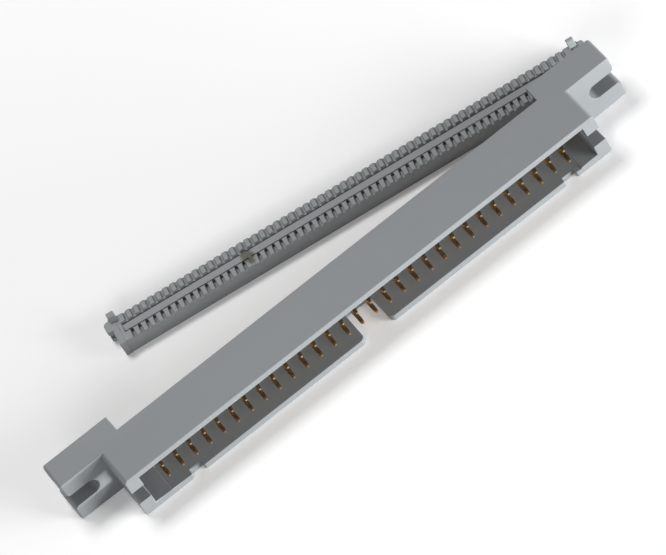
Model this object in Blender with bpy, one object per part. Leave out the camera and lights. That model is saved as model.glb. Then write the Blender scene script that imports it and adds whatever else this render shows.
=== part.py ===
"""Two-row insulation-displacement box header with its cable cover lying behind it.

The header lies on its keyed wall, mating side towards -Y, cable side towards +Y.
X runs along the rows, and the origin is on the resting face, at the middle of the
header's length and in the plane of the ears' front faces. Lengths are in metres.
"""
import math

import bmesh
import bpy
from mathutils import Matrix, Vector

MM = 0.001

# Contact grid
COLUMNS = 30
PITCH = 2.54 * MM
ROW_SPACING = 2.54 * MM
WIRE_PITCH = PITCH / 2

# Contact: square pin, shoulder and forked blade
PIN_SIDE = 0.64 * MM
PIN_TIP_SIDE = 0.26 * MM
PIN_TAPER = 0.55 * MM
TIP_RECESS = 0.75 * MM
BLADE_THICKNESS = 0.30 * MM
BLADE_WIDTH = 1.80 * MM
BLADE_LENGTH = 2.25 * MM
BLADE_FROM_CENTRE = 0.86 * MM
FORK_SLOT_WIDTH = 0.24 * MM
FORK_SLOT_DEPTH = 1.70 * MM
FORK_MOUTH_WIDTH = 0.90 * MM
FORK_MOUTH_DEPTH = 0.45 * MM
FORK_TIP_SLOPE = 0.25 * MM
SHOULDER_LENGTH = 0.45 * MM
SHOULDER_EDGE = 0.06 * MM
CONTACT_CLEARANCE = 0.05 * MM

# Shroud
CAVITY_HEIGHT = 6.5 * MM
CAVITY_DEPTH = 6.4 * MM
CAVITY_END_SPACE = 3.87 * MM
SIDE_WALL = 1.0 * MM
END_WALL = 2.25 * MM
WEB_THICKNESS = 2.7 * MM
RIM_TO_EARS = 7.1 * MM
OUTER_ROUND = 0.65 * MM
ROUND_SEGMENTS = 3

# Shroud cut-outs
KEY_WIDTH = 4.6 * MM
KEY_LIP_ROUND = 0.5 * MM
LIP_NOTCH_WIDTH = 2.0 * MM
LIP_NOTCH_DEPTH = 1.0 * MM
LIP_NOTCH_ROUND = 0.3 * MM
LIP_NOTCH_COLUMNS = (1.5, COLUMNS - 1.5)
END_NOTCH_HEIGHT = 2.7 * MM
END_NOTCH_FLOOR = 0.3 * MM
PAD_HEIGHT = 0.2 * MM
PAD_LENGTH = 3.1 * MM

# Ears
EAR_REACH = 7.53 * MM
EAR_DEPTH = 5.4 * MM
EAR_ROUND = 0.45 * MM
EAR_SLOT_WIDTH = 2.72 * MM
EAR_SLOT_LENGTH = 5.1 * MM
EAR_SLOT_FLARE = 0.4 * MM
SLOT_ARC_STEPS = 10

# Cable cover
COVER_WIDTH = 5.6 * MM
COVER_HEIGHT = 2.7 * MM
COVER_FLOOR = 0.6 * MM
COVER_END_MARGIN = 0.4 * MM
RIDGE_ROW_WIDTH = 1.74 * MM
TINE_SLOT_WIDTH = 0.40 * MM
ROW_EDGE_CHAMFER = 0.25 * MM
LAND_DROP = 0.27 * MM
GROOVE_RADIUS = 0.29 * MM
GROOVE_AXIS_DROP = 0.09 * MM
GROOVE_SIDES = 10
END_BLOCK_LENGTH = 1.6 * MM
END_WALL_LENGTH = 1.05 * MM
END_BLOCK_RISE = 0.1 * MM
END_BLOCK_PROUD = 0.1 * MM
LATCH_POST_LENGTH = 1.2 * MM
LATCH_POST_WIDTH = 0.95 * MM
LATCH_POST_HEIGHT = 1.3 * MM
LATCH_POST_CHAMFER = 0.3 * MM
CATCH_REACH = 0.93 * MM
CATCH_WIDTH = 2.1 * MM
CATCH_HEIGHT = 1.1 * MM
CATCH_FROM_BACK = 0.35 * MM
HOOK_REACH = 0.85 * MM
HOOK_WIDTH = 1.3 * MM
HOOK_HEIGHT = 0.75 * MM
HOOK_RAISE = 0.35 * MM
WINDOW_COUNT = 5
WINDOW_LENGTH = 0.9 * MM
WINDOW_SPACING = 14 * WIRE_PITCH
BRIDGE_LENGTH = 1.1 * MM
BRIDGE_CENTRE = -17.5 * WIRE_PITCH

# Fit of the cover in the header, and where the cover lies
COVER_SIDE_CLEARANCE = 0.25 * MM
POCKET_CLEARANCE = 0.3 * MM
LATCH_HOLE_CLEARANCE = 0.2 * MM
LATCH_HOLE_DEPTH = 1.2 * MM
LYING_GAP = 0.9 * MM
COVER_TURN = math.radians(-9.9)
COVER_ALONG = 10.0 * MM

# Worked-out header sizes
GRID_LENGTH = (COLUMNS - 1) * PITCH
CAVITY_LENGTH = GRID_LENGTH + 2 * CAVITY_END_SPACE
BLOCK_LENGTH = CAVITY_LENGTH + 2 * END_WALL
BLOCK_HEIGHT = CAVITY_HEIGHT + 2 * SIDE_WALL
MID_HEIGHT = BLOCK_HEIGHT / 2
RIM_Y = -RIM_TO_EARS
CAVITY_FLOOR_Y = RIM_Y + CAVITY_DEPTH
WEB_BACK_Y = CAVITY_FLOOR_Y + WEB_THICKNESS
EAR_BACK_Y = EAR_DEPTH
EAR_END_X = BLOCK_LENGTH / 2 + EAR_REACH
HOLE_SIDE = PIN_SIDE + 2 * CONTACT_CLEARANCE
OVERRUN = 0.5 * MM

# Worked-out cover sizes
GROOVED_LENGTH = 2 * COLUMNS * WIRE_PITCH + 2 * COVER_END_MARGIN
COVER_LENGTH = GROOVED_LENGTH + 2 * END_BLOCK_LENGTH
RIDGE_INNER_Y = COVER_WIDTH / 2 - RIDGE_ROW_WIDTH
LAND_HALF_WIDTH = RIDGE_INNER_Y - TINE_SLOT_WIDTH
LAND_TOP = COVER_HEIGHT - LAND_DROP
RECESS_HALF = GROOVED_LENGTH / 2 + COVER_SIDE_CLEARANCE
POCKET_HALF = COVER_LENGTH / 2 + CATCH_REACH + COVER_SIDE_CLEARANCE
LATCH_POST_X = COVER_LENGTH / 2 - END_BLOCK_LENGTH / 2
LATCH_POST_Y = COVER_WIDTH / 2 - LATCH_POST_WIDTH / 2

# The first upper and the last lower contact are one solid with the housing
JOINED_CONTACTS = (("upper", 1), ("lower", COLUMNS))


def clear_scene():
    """Remove whatever objects the file holds."""
    for item in list(bpy.data.objects):
        bpy.data.objects.remove(item, do_unlink=True)


def make_material(name, colour, roughness, metallic=0.0):
    """Return a Principled material of one colour."""
    material = bpy.data.materials.new(name)
    material.use_nodes = True
    shader = material.node_tree.nodes["Principled BSDF"]
    shader.inputs["Base Color"].default_value = (*colour, 1.0)
    shader.inputs["Roughness"].default_value = roughness
    shader.inputs["Metallic"].default_value = metallic
    return material


def add_box(mesh, low, high):
    """Add a box between two corners and return its vertices."""
    size = Vector(high) - Vector(low)
    middle = (Vector(high) + Vector(low)) / 2
    place = Matrix.Translation(middle) @ Matrix.Diagonal((*size, 1.0))
    return bmesh.ops.create_cube(mesh, size=1.0, matrix=place)["verts"]


def add_prism(mesh, outline, direction):
    """Close an outline of points with a face and extrude it along direction."""
    corners = [mesh.verts.new(point) for point in outline]
    face = mesh.faces.new(corners)
    grown = bmesh.ops.extrude_face_region(mesh, geom=[face])
    moved = [item for item in grown["geom"] if isinstance(item, bmesh.types.BMVert)]
    bmesh.ops.translate(mesh, verts=moved, vec=direction)


def arc(centre_a, centre_b, radius, start, end, steps):
    """Return points of an arc in a plane, angles in degrees."""
    angles = [start + (end - start) * step / steps for step in range(steps + 1)]
    return [(centre_a + radius * math.cos(math.radians(angle)),
             centre_b + radius * math.sin(math.radians(angle))) for angle in angles]


def finish_object(name, mesh, material=None):
    """Turn a bmesh into a named object of the scene, faces outwards."""
    bmesh.ops.recalc_face_normals(mesh, faces=mesh.faces)
    data = bpy.data.meshes.new(name)
    mesh.to_mesh(data)
    mesh.free()
    item = bpy.data.objects.new(name, data)
    bpy.context.scene.collection.objects.link(item)
    if material:
        data.materials.append(material)
    return item


def finish_cutter(name, mesh):
    """Turn a bmesh into an object that only cuts or joins other objects."""
    item = finish_object(name, mesh)
    item.hide_render = True
    item.display_type = "WIRE"
    return item


def add_boolean(item, tool, operation):
    """Cut item with tool, or join tool to it."""
    modifier = item.modifiers.new(tool.name, "BOOLEAN")
    modifier.operation = operation
    modifier.solver = "EXACT"
    modifier.object = tool


def bevel_edges(mesh, edges, radius):
    """Round the given edges."""
    bmesh.ops.bevel(mesh, geom=edges, offset=radius, segments=ROUND_SEGMENTS,
                    affect="EDGES", profile=0.5, clamp_overlap=True)


def edges_along(mesh, axis, test):
    """Return the edges along an axis whose middle passes the test."""
    found = []
    for edge in mesh.edges:
        span = edge.verts[1].co - edge.verts[0].co
        middle = (edge.verts[1].co + edge.verts[0].co) / 2
        if abs(span[axis]) > 0.99 * span.length and test(middle):
            found.append(edge)
    return found


def column_x(column):
    """Return the X of a contact column, counted from 1."""
    return (column - (COLUMNS + 1) / 2) * PITCH


def flared_outline(half_width, mouth_y, floor_y, flare):
    """Outline in plan of a cut from the rim whose mouth corners are rounded."""
    left = arc(-half_width - flare, mouth_y + flare, flare, -90, 0, ROUND_SEGMENTS)
    right = [(-x, y) for x, y in reversed(left)]
    outside = mouth_y - OVERRUN
    edge = half_width + flare
    return [(-edge, outside), *left, (-half_width, floor_y), (half_width, floor_y),
            *right, (edge, outside)]


def build_shroud_block():
    """The long block with its rounded ends, still solid."""
    mesh = bmesh.new()
    half = BLOCK_LENGTH / 2
    add_box(mesh, (-half, RIM_Y, 0), (half, WEB_BACK_Y, BLOCK_HEIGHT))
    bevel_edges(mesh, edges_along(mesh, 1, lambda middle: True), OUTER_ROUND)
    return mesh


def build_ears():
    """Both ears, each reaching from the recess to its outer end, rounded all round."""
    mesh = bmesh.new()
    for side in (-1, 1):
        inner, outer = sorted((side * RECESS_HALF, side * EAR_END_X))
        add_box(mesh, (inner, 0, 0), (outer, EAR_BACK_Y, BLOCK_HEIGHT))
    end = EAR_END_X - EAR_ROUND
    rounded = edges_along(mesh, 1, lambda middle: abs(middle.x) > end)
    rounded += edges_along(mesh, 2, lambda middle: abs(middle.x) > end)
    bevel_edges(mesh, rounded, EAR_ROUND)
    return finish_cutter("ears", mesh)


def build_cavity_cutter():
    """The mating cavity, the ear slots and the pockets for the cover's ends."""
    mesh = bmesh.new()
    low, high = SIDE_WALL, BLOCK_HEIGHT - SIDE_WALL
    half = CAVITY_LENGTH / 2
    inner = half - PAD_LENGTH
    front = RIM_Y - OVERRUN
    profile = [(-half, high), (-half, low + PAD_HEIGHT),
               (-inner - PAD_HEIGHT, low + PAD_HEIGHT), (-inner, low),
               (inner, low), (inner + PAD_HEIGHT, low + PAD_HEIGHT),
               (half, low + PAD_HEIGHT), (half, high)]
    add_prism(mesh, [(x, front, z) for x, z in profile],
              (0, CAVITY_FLOOR_Y - front, 0))
    radius = EAR_SLOT_WIDTH / 2
    centre = EAR_END_X - EAR_SLOT_LENGTH + radius
    through = EAR_BACK_Y + 2 * OVERRUN
    mouth = arc(EAR_END_X - EAR_SLOT_FLARE, MID_HEIGHT - radius - EAR_SLOT_FLARE,
                EAR_SLOT_FLARE, 90, 0, ROUND_SEGMENTS)
    mouth.append((EAR_END_X + OVERRUN, MID_HEIGHT - radius - EAR_SLOT_FLARE))
    mouth += [(x, 2 * MID_HEIGHT - z) for x, z in reversed(mouth)]
    slot = arc(centre, MID_HEIGHT, radius, 90, 270, SLOT_ARC_STEPS) + mouth
    for side in (-1, 1):
        add_prism(mesh, [(side * x, -OVERRUN, z) for x, z in slot], (0, through, 0))
        reach = COVER_WIDTH / 2 + POCKET_CLEARANCE
        near, far = sorted((side * (RECESS_HALF - OVERRUN), side * POCKET_HALF))
        add_box(mesh, (near, WEB_BACK_Y, MID_HEIGHT - reach),
                (far, EAR_BACK_Y + OVERRUN, MID_HEIGHT + reach))
    return finish_cutter("cavity_cutter", mesh)


def build_wall_cutter():
    """The key slot, lip notches, end notches and latch holes."""
    mesh = bmesh.new()
    below = -OVERRUN
    rise = (0, 0, SIDE_WALL + PAD_HEIGHT + OVERRUN - below)
    key = flared_outline(KEY_WIDTH / 2, RIM_Y, CAVITY_FLOOR_Y, KEY_LIP_ROUND)
    add_prism(mesh, [(x, y, below) for x, y in key], rise)
    notch = flared_outline(LIP_NOTCH_WIDTH / 2, RIM_Y, RIM_Y + LIP_NOTCH_DEPTH,
                           LIP_NOTCH_ROUND)
    for column in LIP_NOTCH_COLUMNS:
        middle = column_x(column + 1)
        add_prism(mesh, [(middle + x, y, below) for x, y in notch], rise)
    hole_x = (LATCH_POST_LENGTH / 2 + LATCH_HOLE_CLEARANCE)
    hole_z = (LATCH_POST_WIDTH / 2 + LATCH_HOLE_CLEARANCE)
    for side in (-1, 1):
        near = side * (CAVITY_LENGTH / 2 - OVERRUN)
        far = side * (BLOCK_LENGTH / 2 + OVERRUN)
        near, far = sorted((near, far))
        add_box(mesh, (near, RIM_Y - OVERRUN, MID_HEIGHT - END_NOTCH_HEIGHT / 2),
                (far, CAVITY_FLOOR_Y - END_NOTCH_FLOOR,
                 MID_HEIGHT + END_NOTCH_HEIGHT / 2))
        add_box(mesh, (side * LATCH_POST_X - hole_x, WEB_BACK_Y - LATCH_HOLE_DEPTH,
                       MID_HEIGHT + LATCH_POST_Y - hole_z),
                (side * LATCH_POST_X + hole_x, WEB_BACK_Y + OVERRUN,
                 MID_HEIGHT + LATCH_POST_Y + hole_z))
    return finish_cutter("wall_cutter", mesh)


def build_hole_cutter(places):
    """Square holes through the web for the separate contacts."""
    mesh = bmesh.new()
    half = HOLE_SIDE / 2
    for x, z in places:
        add_box(mesh, (x - half, CAVITY_FLOOR_Y - OVERRUN, z - half),
                (x + half, WEB_BACK_Y + OVERRUN, z + half))
    return finish_cutter("hole_cutter", mesh)


def build_pin():
    """The square pin with its tapered tip, on the contact's own axis."""
    mesh = bmesh.new()
    tip = RIM_Y + TIP_RECESS
    back = WEB_BACK_Y + CONTACT_CLEARANCE + SHOULDER_LENGTH / 2
    half = PIN_SIDE / 2
    corners = add_box(mesh, (-half, tip, -half), (half, back, half))
    front = [vert for vert in corners if vert.co.y < (tip + back) / 2]
    face = next(item for item in mesh.faces if all(v in front for v in item.verts))
    grown = bmesh.ops.extrude_discrete_faces(mesh, faces=[face])["faces"]
    bmesh.ops.translate(mesh, verts=front, vec=(0, PIN_TAPER, 0))
    bmesh.ops.remove_doubles(mesh, verts=mesh.verts, dist=MM * 0.0001)
    small = PIN_TIP_SIDE / PIN_SIDE
    bmesh.ops.scale(mesh, verts=list(grown[0].verts), vec=(small, 1, small))
    return mesh


def build_blade():
    """The forked blade that cuts into one wire, slot open towards the cable."""
    mesh = bmesh.new()
    root = WEB_BACK_Y + CONTACT_CLEARANCE + SHOULDER_LENGTH / 2
    end = WEB_BACK_Y + CONTACT_CLEARANCE + SHOULDER_LENGTH + BLADE_LENGTH
    half = BLADE_WIDTH / 2
    slot, mouth = FORK_SLOT_WIDTH / 2, FORK_MOUTH_WIDTH / 2
    right = [(half, root), (half, end - FORK_TIP_SLOPE),
             (half - FORK_TIP_SLOPE, end), (mouth, end),
             (slot, end - FORK_MOUTH_DEPTH), (slot, end - FORK_SLOT_DEPTH)]
    outline = right + [(-x, y) for x, y in reversed(right)]
    centre_z = BLADE_FROM_CENTRE - ROW_SPACING / 2
    low_z = centre_z - BLADE_THICKNESS / 2
    add_prism(mesh, [(x - WIRE_PITCH / 2, y, low_z) for x, y in outline],
              (0, 0, BLADE_THICKNESS))
    return mesh


def build_shoulder():
    """The block at the web's back that joins the pin to the offset blade."""
    mesh = bmesh.new()
    low_x = -WIRE_PITCH / 2 - BLADE_WIDTH / 2 - SHOULDER_EDGE
    high_x = PIN_SIDE / 2 + SHOULDER_EDGE
    centre_z = BLADE_FROM_CENTRE - ROW_SPACING / 2
    low_z = centre_z - BLADE_THICKNESS / 2 - SHOULDER_EDGE
    start = WEB_BACK_Y + CONTACT_CLEARANCE
    add_box(mesh, (low_x, start, low_z),
            (high_x, start + SHOULDER_LENGTH, PIN_SIDE / 2 + SHOULDER_EDGE))
    return mesh


def build_contact_mesh(material):
    """Join pin, shoulder and blade, and return the mesh all contacts share."""
    contact = finish_object("contact", build_shoulder(), material)
    parts = [finish_cutter("pin", build_pin()), finish_cutter("blade", build_blade())]
    for item in parts:
        add_boolean(contact, item, "UNION")
    bpy.context.view_layer.update()
    graph = bpy.context.evaluated_depsgraph_get()
    shared = bpy.data.meshes.new_from_object(contact.evaluated_get(graph))
    for item in [contact, *parts]:
        bpy.data.objects.remove(item, do_unlink=True)
    shared.materials.clear()
    shared.materials.append(material)
    return shared


def place_contact(name, shared, row, column):
    """Put one contact in its row. The lower row is the upper one turned over."""
    item = bpy.data.objects.new(name, shared)
    side = 1 if row == "upper" else -1
    item.location = (column_x(column), 0, MID_HEIGHT + side * ROW_SPACING / 2)
    if row == "lower":
        item.rotation_euler = (0, math.pi, 0)
    bpy.context.scene.collection.objects.link(item)
    return item


def build_contacts(shared):
    """Make the separate contacts and the two that are one with the housing."""
    joined = []
    for row in ("upper", "lower"):
        for column in range(1, COLUMNS + 1):
            name = f"contact_{row}_{column:02d}"
            if (row, column) in JOINED_CONTACTS:
                item = place_contact("joined_" + name, shared, row, column)
                item.hide_render = True
                item.display_type = "WIRE"
                joined.append(item)
            else:
                place_contact(name, shared, row, column)
    return joined


def separate_hole_places():
    """Where the web is pierced for the separate contacts."""
    places = []
    for row, side in (("upper", 1), ("lower", -1)):
        for column in range(1, COLUMNS + 1):
            if (row, column) not in JOINED_CONTACTS:
                places.append((column_x(column), MID_HEIGHT + side * ROW_SPACING / 2))
    return places


def build_housing(material, joined):
    """The moulded housing: block and ears, cut out, with two contacts joined."""
    housing = finish_object("header_housing", build_shroud_block(), material)
    add_boolean(housing, build_ears(), "UNION")
    add_boolean(housing, build_cavity_cutter(), "DIFFERENCE")
    add_boolean(housing, build_wall_cutter(), "DIFFERENCE")
    add_boolean(housing, build_hole_cutter(separate_hole_places()), "DIFFERENCE")
    for item in joined:
        add_boolean(housing, item, "UNION")
    return housing


def build_cover_bar():
    """The cover's solid bar, with its long edges chamfered."""
    mesh = bmesh.new()
    edge, chamfer = COVER_WIDTH / 2, ROW_EDGE_CHAMFER
    right = [(edge, 0), (edge, COVER_HEIGHT - chamfer), (edge - chamfer, COVER_HEIGHT)]
    profile = right + [(-y, z) for y, z in reversed(right)]
    length = COVER_LENGTH - END_WALL_LENGTH
    add_prism(mesh, [(-length / 2, y, z) for y, z in profile], (length, 0, 0))
    return mesh


def build_slot_cutter(place):
    """The two tine slots and the lowered land between them."""
    mesh = bmesh.new()
    slot, land = RIDGE_INNER_Y, LAND_HALF_WIDTH
    right = [(slot, COVER_HEIGHT + OVERRUN), (slot, COVER_FLOOR),
             (land, COVER_FLOOR), (land, LAND_TOP)]
    profile = right + [(-y, z) for y, z in reversed(right)]
    add_prism(mesh, [(-GROOVED_LENGTH / 2, y, z) for y, z in profile],
              (GROOVED_LENGTH, 0, 0))
    cutter = finish_cutter("slot_cutter", mesh)
    cutter.parent = place
    return cutter


def build_groove_cutter(place):
    """Sixty round-bottomed wire grooves across each row of ridges."""
    mesh = bmesh.new()
    axis_z = COVER_HEIGHT - GROOVE_AXIS_DROP
    inner = RIDGE_INNER_Y - TINE_SLOT_WIDTH / 2
    length = COVER_WIDTH / 2 + OVERRUN - inner
    turn = Matrix.Rotation(math.pi / 2, 4, "X")
    for wire in range(2 * COLUMNS):
        x = (wire - (2 * COLUMNS - 1) / 2) * WIRE_PITCH
        for side in (-1, 1):
            place_here = Matrix.Translation((x, side * (inner + length / 2), axis_z))
            bmesh.ops.create_cone(mesh, cap_ends=True, segments=GROOVE_SIDES,
                                  radius1=GROOVE_RADIUS, radius2=GROOVE_RADIUS,
                                  depth=length, matrix=place_here @ turn)
    cutter = finish_cutter("groove_cutter", mesh)
    cutter.parent = place
    return cutter


def build_window_cutter(place):
    """Small windows through the floor of the back tine slot."""
    mesh = bmesh.new()
    inset = TINE_SLOT_WIDTH / 8
    for number in range(WINDOW_COUNT):
        x = (number - (WINDOW_COUNT - 1) / 2) * WINDOW_SPACING
        add_box(mesh, (x - WINDOW_LENGTH / 2, LAND_HALF_WIDTH + inset, -OVERRUN),
                (x + WINDOW_LENGTH / 2, RIDGE_INNER_Y - inset,
                 COVER_FLOOR + OVERRUN))
    cutter = finish_cutter("window_cutter", mesh)
    cutter.parent = place
    return cutter


def build_end_walls(place):
    """The wall at each end of the bar, a little proud of it."""
    mesh = bmesh.new()
    half = COVER_WIDTH / 2
    for side in (-1, 1):
        near, far = sorted((side * (COVER_LENGTH / 2 - END_WALL_LENGTH),
                            side * COVER_LENGTH / 2))
        add_box(mesh, (near, -half - END_BLOCK_PROUD, 0),
                (far, half, COVER_HEIGHT + END_BLOCK_RISE))
    walls = finish_cutter("end_walls", mesh)
    walls.parent = place
    return walls


def build_posts(place):
    """The upright latch post near each back corner, chamfered on its inner edge."""
    mesh = bmesh.new()
    top = COVER_HEIGHT + END_BLOCK_RISE
    for side in (-1, 1):
        post = add_box(mesh, (side * LATCH_POST_X - LATCH_POST_LENGTH / 2,
                              LATCH_POST_Y - LATCH_POST_WIDTH / 2, top - OVERRUN),
                       (side * LATCH_POST_X + LATCH_POST_LENGTH / 2,
                        LATCH_POST_Y + LATCH_POST_WIDTH / 2, top + LATCH_POST_HEIGHT))
        ridge = [edge for edge in mesh.edges
                 if all(v in post and v.co.z > top for v in edge.verts)
                 and all(v.co.y < LATCH_POST_Y for v in edge.verts)]
        bmesh.ops.bevel(mesh, geom=ridge, offset=LATCH_POST_CHAMFER, segments=1,
                        affect="EDGES", profile=0.5)
    posts = finish_cutter("latch_posts", mesh)
    posts.parent = place
    return posts


def build_catches(place):
    """At each end: a rounded catch, and a small hook under it."""
    mesh = bmesh.new()
    top = COVER_HEIGHT + END_BLOCK_RISE
    end = COVER_LENGTH / 2
    catch_back = COVER_WIDTH / 2 - CATCH_FROM_BACK
    hook_back = catch_back - (CATCH_WIDTH - HOOK_WIDTH) / 2
    add_bumps(mesh, end, CATCH_REACH, catch_back, CATCH_WIDTH,
              top - CATCH_HEIGHT, top)
    add_bumps(mesh, end, HOOK_REACH, hook_back, HOOK_WIDTH,
              HOOK_RAISE, HOOK_RAISE + HOOK_HEIGHT)
    catches = finish_cutter("end_catches", mesh)
    catches.parent = place
    return catches


def add_bumps(mesh, end, reach, back, width, low, high):
    """Add a bump with rounded outer corners to both ends of the bar."""
    radius = min(reach, width / 2) * 0.6
    front = back - width
    outline = [(end - OVERRUN, front)]
    outline += arc(end + reach - radius, front + radius, radius, -90, 0,
                   ROUND_SEGMENTS)
    outline += arc(end + reach - radius, back - radius, radius, 0, 90,
                   ROUND_SEGMENTS)
    outline.append((end - OVERRUN, back))
    for side in (-1, 1):
        add_prism(mesh, [(side * x, y, low) for x, y in outline],
                  (0, 0, high - low))


def build_bridge(place):
    """The moulding bridge that crosses the back slot at one place."""
    mesh = bmesh.new()
    add_box(mesh, (BRIDGE_CENTRE - BRIDGE_LENGTH / 2, LAND_HALF_WIDTH - OVERRUN,
                   COVER_FLOOR - OVERRUN / 2),
            (BRIDGE_CENTRE + BRIDGE_LENGTH / 2, RIDGE_INNER_Y + OVERRUN / 2,
             LAND_TOP - OVERRUN / 5))
    bridge = finish_cutter("slot_bridge", mesh)
    bridge.parent = place
    return bridge


def place_cover():
    """The empty that lays the cover behind the right ear, turned on the surface."""
    place = bpy.data.objects.new("cover_place", None)
    reach = COVER_LENGTH / 2 * abs(math.sin(COVER_TURN))
    half = (COVER_WIDTH / 2 + END_BLOCK_PROUD) * math.cos(COVER_TURN)
    place.location = (COVER_ALONG, EAR_BACK_Y + LYING_GAP + reach + half, 0)
    place.rotation_euler = (0, 0, COVER_TURN)
    bpy.context.scene.collection.objects.link(place)
    return place


def build_cover(material):
    """The cable cover, grooved face up."""
    place = place_cover()
    cover = finish_object("cable_cover", build_cover_bar(), material)
    cover.parent = place
    add_boolean(cover, build_slot_cutter(place), "DIFFERENCE")
    add_boolean(cover, build_groove_cutter(place), "DIFFERENCE")
    add_boolean(cover, build_window_cutter(place), "DIFFERENCE")
    add_boolean(cover, build_end_walls(place), "UNION")
    add_boolean(cover, build_posts(place), "UNION")
    add_boolean(cover, build_catches(place), "UNION")
    add_boolean(cover, build_bridge(place), "UNION")
    return cover


def main():
    clear_scene()
    grey = make_material("grey_plastic", (0.235, 0.255, 0.275), 0.5)
    cover_grey = make_material("cover_plastic", (0.225, 0.24, 0.25), 0.55)
    gold = make_material("gold_plate", (0.80, 0.55, 0.20), 0.3, 1.0)
    joined = build_contacts(build_contact_mesh(gold))
    build_housing(grey, joined)
    build_cover(cover_grey)


main()
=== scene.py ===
"""Looks of a two-row insulation-displacement box header and its cable cover.

The header lies on its keyed wall, mating side towards -Y and cable side towards +Y.
X runs along the rows, and the origin is on the resting face, at the middle of the
header's length and in the plane of the ears' front faces. Shapes are modelled in
millimetres and brought to metres when their mesh is finished.
"""
import logging
import math
from dataclasses import dataclass, field, replace
from enum import Enum
from typing import Callable, Iterable, Sequence

import bmesh
import bpy
from mathutils import Matrix, Vector


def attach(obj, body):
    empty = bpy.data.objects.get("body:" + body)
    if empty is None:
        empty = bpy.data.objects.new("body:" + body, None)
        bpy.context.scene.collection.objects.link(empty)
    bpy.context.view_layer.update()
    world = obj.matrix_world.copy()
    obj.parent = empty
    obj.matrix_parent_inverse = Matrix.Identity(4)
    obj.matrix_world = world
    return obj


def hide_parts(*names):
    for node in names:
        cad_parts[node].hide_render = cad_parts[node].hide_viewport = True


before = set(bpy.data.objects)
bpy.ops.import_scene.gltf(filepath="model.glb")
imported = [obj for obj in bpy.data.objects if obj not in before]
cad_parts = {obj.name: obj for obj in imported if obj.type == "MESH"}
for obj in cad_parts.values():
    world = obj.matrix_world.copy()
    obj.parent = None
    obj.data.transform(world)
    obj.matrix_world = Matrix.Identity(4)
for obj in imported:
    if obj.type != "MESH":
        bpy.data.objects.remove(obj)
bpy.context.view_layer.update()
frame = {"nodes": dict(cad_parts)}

LOG = logging.getLogger("box_header")
ROOT_BODY = "root"
MM = 0.001

# Tolerances on shapes, in millimetres, radians and a share of an edge's length.
MERGE_DISTANCE = 0.0005
TOUCHING = 0.01
FLAT_ANGLE = math.radians(0.4)
SHARP_ANGLE = math.radians(28)
PARALLEL_SHARE = 0.99

ROUNDING_FACETS = 2

Shape = bmesh.types.BMesh
Point = tuple[float, float]
Place = tuple[float, float, float]
Colour = tuple[float, float, float]

HOUSING_GREY: Colour = (0.199, 0.212, 0.220)
COVER_GREY: Colour = (0.246, 0.261, 0.267)
BRIGHT_GOLD: Colour = (0.80, 0.58, 0.34)
DEEP_GOLD: Colour = (0.36, 0.21, 0.09)


class Step(Enum):
    """What a tool shape does to the shape that it meets."""

    JOIN = "UNION"
    CUT = "DIFFERENCE"


class Row(Enum):
    """The two contact rows. The value is the side of the middle plane in Z."""

    UPPER = 1
    LOWER = -1


class Slot(Enum):
    """The record's material slots."""

    HOUSING = "housing_plastic"
    COVER = "cover_plastic"
    CONTACT = "contact_gold"


def add_box(shape: Shape, low: Place, high: Place) -> None:
    """Add a box between two corners.

    Args:
        shape: The shape that gets the box.
        low: The corner with the lowest coordinates.
        high: The corner with the highest coordinates.
    """
    size = Vector(high) - Vector(low)
    place = Matrix.Translation((Vector(high) + Vector(low)) / 2)
    bmesh.ops.create_cube(shape, size=1.0, matrix=place @ Matrix.Diagonal((*size, 1)))


def add_box_pair(shape: Shape, low: Place, high: Place) -> None:
    """Add a box and its mirror image across the middle of the length.

    Args:
        shape: The shape that gets the boxes.
        low: The right-hand box's corner with the lowest coordinates.
        high: Its corner with the highest coordinates.
    """
    add_box(shape, (-high[0], *low[1:]), (-low[0], *high[1:]))
    add_box(shape, low, high)


def add_rod(shape: Shape, radius: float, length: float, facets: int,
            place: Matrix) -> None:
    """Add a closed round rod along Z, moved and turned by a matrix."""
    bmesh.ops.create_cone(shape, cap_ends=True, segments=facets, radius1=radius,
                          radius2=radius, depth=length, matrix=place)


def add_prism(shape: Shape, outline: Iterable[Sequence[float]],
              direction: Sequence[float]) -> None:
    """Close an outline with a face and extrude it.

    Args:
        shape: The shape that gets the prism.
        outline: The outline's points in order.
        direction: The length and direction of the extrusion.
    """
    face = shape.faces.new([shape.verts.new(point) for point in outline])
    grown = bmesh.ops.extrude_face_region(shape, geom=[face])
    moved = [item for item in grown["geom"] if isinstance(item, bmesh.types.BMVert)]
    bmesh.ops.translate(shape, verts=moved, vec=direction)


def arc(centre: Point, radius: float, start: float, end: float,
        steps: int) -> list[Point]:
    """Return the points of an arc in a plane.

    Args:
        centre: The arc's centre.
        radius: The arc's radius.
        start: The first angle in degrees.
        end: The last angle in degrees.
        steps: How many straight steps the arc has.

    Returns:
        The points from start to end.
    """
    angles = [math.radians(start + (end - start) * step / steps)
              for step in range(steps + 1)]
    return [(centre[0] + radius * math.cos(angle), centre[1] + radius * math.sin(angle))
            for angle in angles]


def edges_along(shape: Shape, axes: Iterable[int],
                beyond: float = 0.0) -> list[bmesh.types.BMEdge]:
    """Return the edges along some axes, axis by axis.

    Args:
        shape: The shape that is searched.
        axes: 0, 1 or 2 for X, Y or Z.
        beyond: How far to either side in X an edge's middle is at least.

    Returns:
        The edges found.
    """
    found = []
    for axis in axes:
        for edge in shape.edges:
            first, second = (vert.co for vert in edge.verts)
            span = second - first
            if (abs(span[axis]) > PARALLEL_SHARE * span.length
                    and abs(first.x + second.x) / 2 >= beyond):
                found.append(edge)
    return found


def round_edges(shape: Shape, edges: list[bmesh.types.BMEdge],
                radius: float, segments: int) -> None:
    """Round the given edges, or chamfer them with a single segment."""
    bmesh.ops.bevel(shape, geom=edges, offset=radius, segments=segments,
                    affect="EDGES", profile=0.5, material=-1, clamp_overlap=True)


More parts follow.
